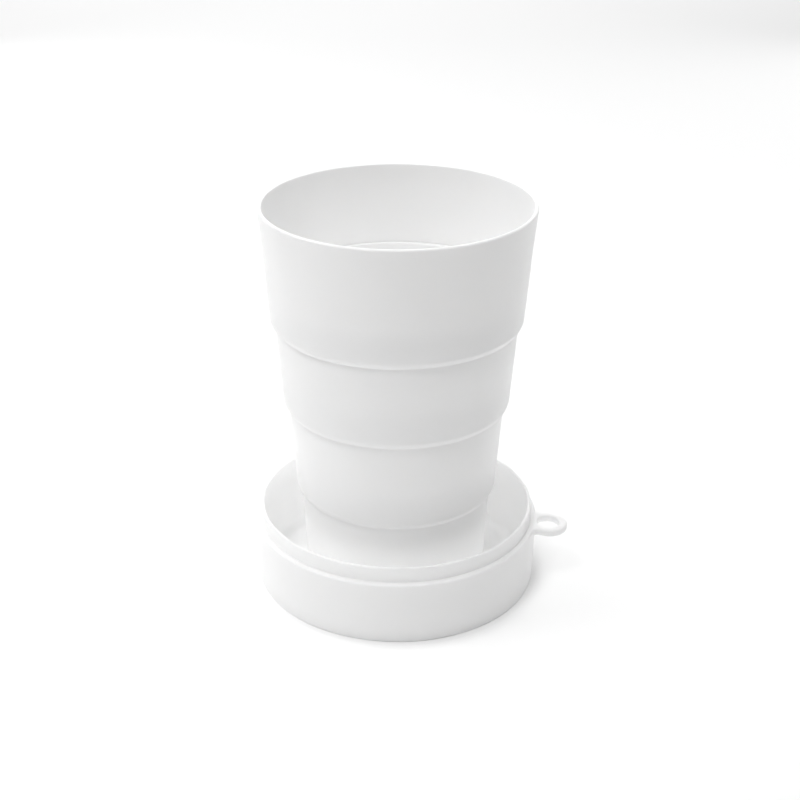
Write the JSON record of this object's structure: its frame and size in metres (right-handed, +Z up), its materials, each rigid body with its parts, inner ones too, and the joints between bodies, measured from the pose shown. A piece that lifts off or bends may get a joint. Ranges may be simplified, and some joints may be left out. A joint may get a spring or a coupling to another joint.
{
  "type": "collapsible cup",
  "caption": "Collapsible travel cup: tapered plastic rings telescope up from a small cup fixed in a round dish base, which has a neck for a lid and a cord eyelet.",
  "frame": {"origin": "centre of the dish base's flat underside, on the cup's axis", "axes": "+Z up along the cup's axis towards the drinking rim; +X towards the eyelet"},
  "size_m": [0.0853, 0.0768, 0.1055],
  "materials": {
    "cup_plastic": "satin white polypropylene",
    "base_plastic": "satin white polypropylene"
  },
  "bodies": {
    "base": {"base_dish": "base_plastic", "bottom_cup": "cup_plastic"},
    "lower_ring": {"lower_ring": "cup_plastic"},
    "middle_ring": {"middle_ring": "cup_plastic"},
    "upper_ring": {"upper_ring": "cup_plastic"}
  },
  "joints": [
    {"name": "lower_ring_slide", "type": "slide", "parent": "base", "child": "lower_ring", "axis": [0, 0, 1], "range_m": [-0.025, 0]},
    {"name": "middle_ring_slide", "type": "slide", "parent": "lower_ring", "child": "middle_ring", "axis": [0, 0, 1], "range_m": [-0.0248, 0]},
    {"name": "upper_ring_slide", "type": "slide", "parent": "middle_ring", "child": "upper_ring", "axis": [0, 0, 1], "range_m": [-0.0229, 0]}
  ]
}
